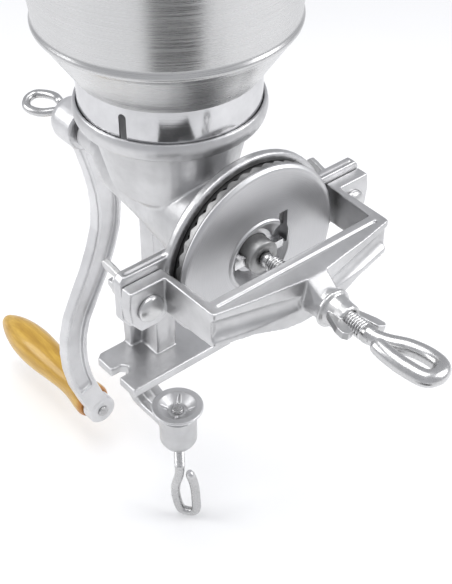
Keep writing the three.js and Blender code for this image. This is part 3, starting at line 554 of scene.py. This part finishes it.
piece(cast_copy("body", "body_casting", BODY_VOXEL, 12), "mill", "body_casting", CASTING)
piece(cast_copy("yoke_frame", "yoke", VOXEL, 8), "mill", "yoke", CASTING)
piece(cast_copy("crank", "crank_arm", VOXEL, 8), "shaft", "crank_arm", CRANK_METAL)
piece(cast_copy("pad_cup", "clamp_pad", 0.5, 6), "pad", "clamp_pad", PAD_METAL_PAINTED_LIGHT)

for node, body in (("lock_wing_nut", "lock_nut"), ("yoke_wing_nut_right", "nut_right"),
                   ("yoke_wing_nut_left", "nut_left")):
    piece(cast_copy(node + "_cast", node, 0.4, 7), body, node, NUT_METAL)

# ---- hopper ----

SKIRT_R = high_mm("hopper_skirt").x
SKIRT_LOW, SKIRT_HIGH = low_mm("hopper_skirt").z, high_mm("hopper_skirt").z
SHEET_T = 1.2
ORIGIN = Vector((0, 0, 0))
SLOT_HALF = 2.6
SLOT_TOP = SHAFT.z + 96.5
SLOT_DEGREES = -66


def hopper_skirt():
    ring = rounded([
        (SKIRT_R - SHEET_T, SKIRT_LOW), (SKIRT_R, SKIRT_LOW),
        (SKIRT_R, SKIRT_HIGH), (SKIRT_R - SHEET_T, SKIRT_HIGH),
    ], 0.4)
    skirt = lathe("skirt_sheet", AXIS_Z, ORIGIN, ring, 240)
    arc = [math.pi * k / 16 for k in range(17)]
    outline = [(-SLOT_HALF, SKIRT_LOW - 4), (SLOT_HALF, SKIRT_LOW - 4)]
    outline += [(SLOT_HALF * math.cos(a), SLOT_TOP - SLOT_HALF + SLOT_HALF * math.sin(a)) for a in arc]
    slot = prism_x("slot", outline, SKIRT_R - 8, SKIRT_R + 4, ORIGIN)
    slot.data.transform(Matrix.Rotation(math.radians(SLOT_DEGREES), 4, "Z"))
    return cut_away(skirt, slot)


BOWL_LOW, BOWL_HIGH = low_mm("hopper_bowl").z, high_mm("hopper_bowl").z
BOWL_R = high_mm("hopper_bowl").x
BOWL_TOP_R = BOWL_R - 2.2
SHOULDER_R, SHOULDER = 84, SHAFT.z + 136
NECK_R = SKIRT_R + 0.3


def hopper_bowl():
    outside = [
        (NECK_R + SHEET_T, BOWL_LOW), (NECK_R + SHEET_T + 1, BOWL_LOW + 2),
        (SHOULDER_R - 1, SHOULDER - 2), (SHOULDER_R + 1.6, SHOULDER + 1),
        (SHOULDER_R + 1.6, SHOULDER + 3), (SHOULDER_R + 0.2, SHOULDER + 6),
        (BOWL_TOP_R - 0.2, BOWL_HIGH - 5), (BOWL_TOP_R + 1.6, BOWL_HIGH - 4),
        (BOWL_TOP_R + 2.2, BOWL_HIGH - 2),
        (BOWL_TOP_R + 1.6, BOWL_HIGH), (BOWL_TOP_R - SHEET_T, BOWL_HIGH),
    ]
    inside = [
        (SHOULDER_R - SHEET_T, SHOULDER + 6), (SHOULDER_R - SHEET_T, SHOULDER),
        (SHOULDER_R - SHEET_T - 1.4, SHOULDER - 2), (SKIRT_R - SHEET_T, SKIRT_HIGH + 0.3),
        (NECK_R, SKIRT_HIGH + 0.3), (NECK_R, BOWL_LOW),
    ]
    return lathe("bowl_sheet", AXIS_Z, ORIGIN, rounded(outside + inside, 1.2), 240, 50)


piece(hopper_skirt(), "hopper", "hopper_skirt", SHEET)
piece(hopper_bowl(), "hopper", "hopper_bowl", BOWL_SHEET)

# ---- grinding parts ----

DISC_R = high_mm("disc_carrier").y
DISC_LOW, DISC_HIGH = low_mm("disc_carrier").x, high_mm("disc_carrier").x
BURR_R = high_mm("moving_burr").y
BURR_FRONT = high_mm("moving_burr").x
HEAD_R = 12.3
NECK_REAR_R, NECK_FRONT_R = 25, 25.7
RECESS_R, RECESS_DEPTH = 16, 8.1
DISC_FACE = DISC_HIGH - 1.2
HUB_FLOOR = DISC_HIGH - RECESS_DEPTH
KEY_HALF_W, KEY_HALF_H = 21.3, 3.3
LUG_FROM, LUG_TO, LUG_END = 15.6, 22.8, 26


def disc_carrier():
    seat = BURR_FRONT + 0.3
    burr_rear = low_mm("moving_burr").x
    profile = rounded([
        (HEAD_R, DISC_LOW), (NECK_REAR_R, DISC_LOW),
        (NECK_REAR_R, burr_rear), (NECK_FRONT_R, burr_rear + 1),
        (NECK_FRONT_R, seat), (BURR_R + 0.1, seat), (DISC_R, seat + 0.6), (DISC_R, seat + 1.8),
        (DISC_R - 2.2, DISC_FACE - 0.3), (DISC_R - 4, DISC_FACE), (NECK_FRONT_R + 0.9, DISC_FACE),
        (NECK_FRONT_R - 0.3, DISC_HIGH), (NECK_FRONT_R - 1.9, DISC_HIGH), (RECESS_R + 1, HUB_FLOOR + 1.5),
        (RECESS_R, HUB_FLOOR), (HEAD_R, HUB_FLOOR),
    ], 0.5)
    disc = lathe("disc_turned", AXIS_X, SHAFT, profile, 240)
    key = prism_x("key_slot", [
        (-KEY_HALF_W, -KEY_HALF_H), (KEY_HALF_W, -KEY_HALF_H),
        (KEY_HALF_W, KEY_HALF_H), (-KEY_HALF_W, KEY_HALF_H),
    ], HUB_FLOOR, DISC_HIGH + 2, SHAFT)
    lug = prism_x("lug_slot", [
        (LUG_FROM, 0.1), (LUG_TO, 0.1), (LUG_TO, LUG_END), (LUG_FROM, LUG_END),
    ], HUB_FLOOR, DISC_HIGH + 2, SHAFT)
    return cut_away(disc, key, lug)


piece(disc_carrier(), "shaft", "disc_carrier", TURNED)
piece(plain_copy("worm", "auger", 40), "shaft", "auger", IRON)
piece(plain_copy("burr_turning", "moving_burr", 20), "shaft", "moving_burr", IRON)
piece(plain_copy("burr_still", "fixed_burr", 20), "mill", "fixed_burr", SHADED_IRON)


def drive_key():
    key = plain_copy("key_bar", "drive_key", 30)
    bevel = key.modifiers.new("bevel", "BEVEL")
    bevel.width = 0.5 * MM
    bevel.segments = 3
    baked(key)
    shade_smooth(key.data, 40)
    return key


piece(drive_key(), "shaft", "drive_key", PLATED)

BALL_R = (high_mm("thrust_ball").x - low_mm("thrust_ball").x) / 2
BALL_X = centre_mm("thrust_ball").x
half_circle = [math.pi * k / 24 for k in range(25)]
ball = lathe("ball", AXIS_X, SHAFT, [
    (max(0, BALL_R * math.sin(a)), BALL_X - BALL_R * math.cos(a)) for a in half_circle
], 48, 80)
piece(ball, "ball", "thrust_ball", PLATED)

# ---- screws ----

SCREW_R, PITCH, DEPTH = 4.5, 25.4 / 16, 0.85
ADJUSTER_R, ADJUSTER_PITCH, ADJUSTER_DEPTH = 6.2, 25.4 / 13, 1.05
BAR_R, ADJUSTER_BAR_R, THUMB_BAR_R = 4, 5.5, 3.3
SHOULDER_X = 195
THREAD_END = 189
ADJUSTER_LOOP, THUMB_LOOP, CLAMP_LOOP = (55, 31), (37, 24), (60, 25)
THUMB_R, THUMB_SHOULDER = 4.2, -135
CLAMP_LENGTH = 66
BOLT_R, BOLT_HEAD_H, BOLT_THREAD = 4.6, 5, 20


def joined(name, *objs):
    """Joins several objects into the first one, under a new name."""
    with bpy.context.temp_override(active_object=objs[0], selected_editable_objects=list(objs)):
        bpy.ops.object.join()
    objs[0].name = name
    return objs[0]


def adjusting_screw():
    tip = low_mm("adjusting_screw").x
    threads = thread("threads", AXIS_X, SHAFT, ADJUSTER_R, tip, THREAD_END, ADJUSTER_PITCH, ADJUSTER_DEPTH)
    shank = lathe("shank", AXIS_X, SHAFT, rounded([
        (0, THREAD_END - 1), (ADJUSTER_R - 0.3, THREAD_END - 1), (ADJUSTER_R, THREAD_END + 1),
        (ADJUSTER_R, SHOULDER_X - 4), (ADJUSTER_BAR_R, SHOULDER_X), (0, SHOULDER_X),
    ], 0.8), 48)
    start = SHAFT + Vector((SHOULDER_X - 2, 0, 0))
    loop = eye_loop("loop", *ADJUSTER_LOOP, ADJUSTER_BAR_R, [(4, 0, 6)], start)
    return joined("adjusting_eye_screw", threads, shank, loop)


def thumb_screw():
    tip = high_mm("crank_thumb_screw").x
    threads = thread("threads", AXIS_X, SHAFT, THUMB_R, THUMB_SHOULDER + 2, tip, PITCH * 0.8, 0.7)
    start = SHAFT + Vector((THUMB_SHOULDER + 1, 0, 0))
    loop = eye_loop("loop", *THUMB_LOOP, THUMB_BAR_R, [(-10, 0, 199)], start)
    return joined("thumb_eye_screw", threads, loop)


def clamp_screw():
    pad_floor = low_mm("clamp_pad").z
    boss_top = pad_floor - 0.3
    bottom = boss_top - CLAMP_LENGTH
    neck = SCREW_R - 1
    threads = thread("threads", AXIS_Z, CLAMP, SCREW_R, bottom + 4, boss_top - 0.4, PITCH, DEPTH)
    stub = lathe("stub", AXIS_Z, CLAMP, rounded([
        (0, boss_top - 1), (neck, boss_top - 1), (neck, pad_floor + 3.7), (neck + 1.8, pad_floor + 3.7),
        (neck + 1.2, pad_floor + 6), (0, pad_floor + 6.8),
    ], 0.6), 40)
    shank = lathe("shank", AXIS_Z, CLAMP, rounded([
        (0, bottom), (BAR_R, bottom), (SCREW_R, bottom + 3), (SCREW_R - 0.3, bottom + 5), (0, bottom + 5),
    ], 0.8), 40)
    loop = eye_loop("loop", *CLAMP_LOOP, BAR_R, [(0, 0, -7), (0, 90, 0), (0, 0, 118)],
                    CLAMP + Vector((0, 0, bottom + 2)))
    return joined("clamp_eye_screw", threads, stub, shank, loop)


def yoke_bolt(side):
    node = "yoke_bolt_" + side
    axis = Vector((0, BOLT_Y if side == "right" else -BOLT_Y, SHAFT.z))
    end, top = low_mm(node).x, high_mm(node).x
    head_r = high_mm("yoke_bolt_right").y - BOLT_Y
    seat = top - BOLT_HEAD_H
    threads = thread("threads", AXIS_X, axis, BOLT_R, end, end + BOLT_THREAD, PITCH, DEPTH)
    quarter = [math.pi / 2 * k / 14 for k in range(15)]
    dome = [(head_r * math.cos(a), seat + 1 + (BOLT_HEAD_H - 1) * math.sin(a)) for a in quarter]
    dome[-1] = (0, top)
    head = lathe("head", AXIS_X, axis, [
        (0, end + BOLT_THREAD - 1), (BOLT_R - 0.2, end + BOLT_THREAD - 1), (BOLT_R, end + BOLT_THREAD + 1),
        (BOLT_R, seat), (head_r, seat), *dome,
    ], 64)
    return joined("carriage_bolt_" + side, threads, head)


piece(adjusting_screw(), "adjuster", "adjusting_screw", PLATED)
piece(thumb_screw(), "thumb_screw", "crank_thumb_screw", PLATED)
piece(clamp_screw(), "clamp", "clamp_screw", PLATED)
for side in ("right", "left"):
    piece(yoke_bolt(side), "bolt_" + side, "yoke_bolt_" + side, NUT_METAL)

# ---- handle ----

GRIP_START, GRIP_END = high_mm("handle_grip").x, low_mm("handle_grip").x
GRIP_R = (high_mm("handle_grip").y - low_mm("handle_grip").y) / 2
PIN_R = 3.6


def handle_grip():
    length = GRIP_START - GRIP_END
    shape = [
        (GRIP_R - 3, 0), (GRIP_R - 1.6, 0.02), (GRIP_R - 1.8, 0.07), (GRIP_R - 4, 0.17),
        (GRIP_R - 4.6, 0.26), (GRIP_R - 3, 0.4), (GRIP_R - 0.8, 0.54), (GRIP_R, 0.66),
        (GRIP_R - 1.2, 0.78), (GRIP_R - 4.6, 0.89), (GRIP_R - 9, 0.97), (PIN_R + 2.6, 1),
    ]
    line = smooth_path([(r, GRIP_START - length * f, 0) for r, f in shape], 8)
    outside = [(min(p.x, GRIP_R), p.y) for p in line]
    profile = [(PIN_R + 0.3, GRIP_START), *outside, (PIN_R + 0.3, GRIP_END)]
    return lathe("grip_wood", AXIS_X, PIN, profile, 96, 50)


def handle_spindle():
    low, high = low_mm("handle_spindle").x, high_mm("handle_spindle").x
    out_end = low + 2.4
    in_end = high - 1.8
    return lathe("spindle_rivet", AXIS_X, PIN, rounded([
        (0, low), (PIN_R + 0.4, low + 0.4), (PIN_R + 2, out_end), (PIN_R, out_end), (PIN_R, in_end),
        (PIN_R + 1.6, in_end), (PIN_R + 1, in_end + 1.2), (0, high),
    ], 0.4), 48)


piece(handle_grip(), "grip", "handle_grip", WOOD)
piece(handle_spindle(), "shaft", "handle_spindle", PLATED)

# ---- floor, light and camera ----


def floor():
    low = min(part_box(node)[0].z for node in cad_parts)
    size, cells = 6.0, 24
    verts = [(size * (i / cells - 0.5), size * (j / cells - 0.5), low - 0.004)
             for j in range(cells + 1) for i in range(cells + 1)]
    row = cells + 1
    faces = [[j * row + i, j * row + i + 1, (j + 1) * row + i + 1, (j + 1) * row + i]
             for j in range(cells) for i in range(cells)]
    mesh = bpy.data.meshes.new("floor")
    mesh.from_pydata(verts, [], faces)
    obj = add_object("floor", mesh)
    n = Nodes("floor_paint")
    n.set(Specular_IOR_Level=0.1)
    colour = n.grey(n.noise(3, 2), (0.3, 0.93), (0.7, 0.96))
    mesh.materials.append(n.finish(colour, n.grey(n.noise(40, 2), (0.3, 0.8), (0.7, 0.9))))


def softbox(name, place, target, size, power):
    data = bpy.data.lights.new(name, "AREA")
    data.shape = "RECTANGLE"
    data.size, data.size_y = size
    data.energy = power
    obj = bpy.data.objects.new(name, data)
    bpy.context.scene.collection.objects.link(obj)
    obj.location = place
    obj.rotation_euler = (Vector(target) - Vector(place)).to_track_quat("-Z", "Y").to_euler()
    return obj


def dark_card(name, centre, size, spin):
    """A dark card on the floor that only reflections see: it gives the bright metal its dark bands."""
    a, b = size[0] / 2, size[1] / 2
    mesh = bpy.data.meshes.new(name)
    mesh.from_pydata([(-a, -b, 0), (a, -b, 0), (a, b, 0), (-a, b, 0)], [], [[0, 1, 2, 3]])
    obj = add_object(name, mesh)
    obj.location = centre
    obj.rotation_euler.z = spin
    n = Nodes(name + "_paint")
    mesh.materials.append(n.finish(n.grey(n.noise(4, 2), (0.3, 0.03), (0.7, 0.05))))
    obj.visible_camera = False
    obj.visible_diffuse = False
    obj.visible_shadow = False
    return obj


CAMERA_AT = Vector((0.5579, -0.4171, 0.6662))
LOOK_AT = Vector((0.0604, -0.0029, 0.1169))
LENS = 76.2

floor()
toward = Vector((CAMERA_AT.x - LOOK_AT.x, CAMERA_AT.y - LOOK_AT.y, 0)).normalized()
floor_z = min(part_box(node)[0].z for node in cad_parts) - 0.002
aside = Vector((-toward.y, toward.x, 0))
CARD_OUT, CARD_ASIDE, CARD_SIZE = 0.645, 0.1, (0.41, 0.5)
card_place = toward * CARD_OUT + aside * CARD_ASIDE
card_place.z = floor_z
dark_card("front_card", card_place, CARD_SIZE, math.atan2(toward.y, toward.x))

softbox("top", (0.1, -0.1, 1.5), (0.05, 0, 0.1), (1.0, 1.0), 12)
softbox("left", (-0.9, -1.1, 0.9), (0, 0, 0.12), (0.8, 1.0), 9)
softbox("right", (0.9, 0.9, 0.8), (0.05, 0, 0.15), (0.7, 0.9), 8)

world = bpy.data.worlds.new("studio")
world.use_nodes = True
background = world.node_tree.nodes["Background"]
background.inputs["Color"].default_value = (0.95, 0.96, 1.0, 1)
background.inputs["Strength"].default_value = 0.65
bpy.context.scene.world = world
bpy.context.scene.view_settings.view_transform = "Standard"

camera_data = bpy.data.cameras.new("camera")
camera_data.lens = LENS
camera_data.sensor_width = 36
camera_data.clip_end = 20
camera = bpy.data.objects.new("camera", camera_data)
bpy.context.scene.collection.objects.link(camera)
camera.location = CAMERA_AT
camera.rotation_euler = (LOOK_AT - CAMERA_AT).to_track_quat("-Z", "Y").to_euler()
bpy.context.scene.camera = camera
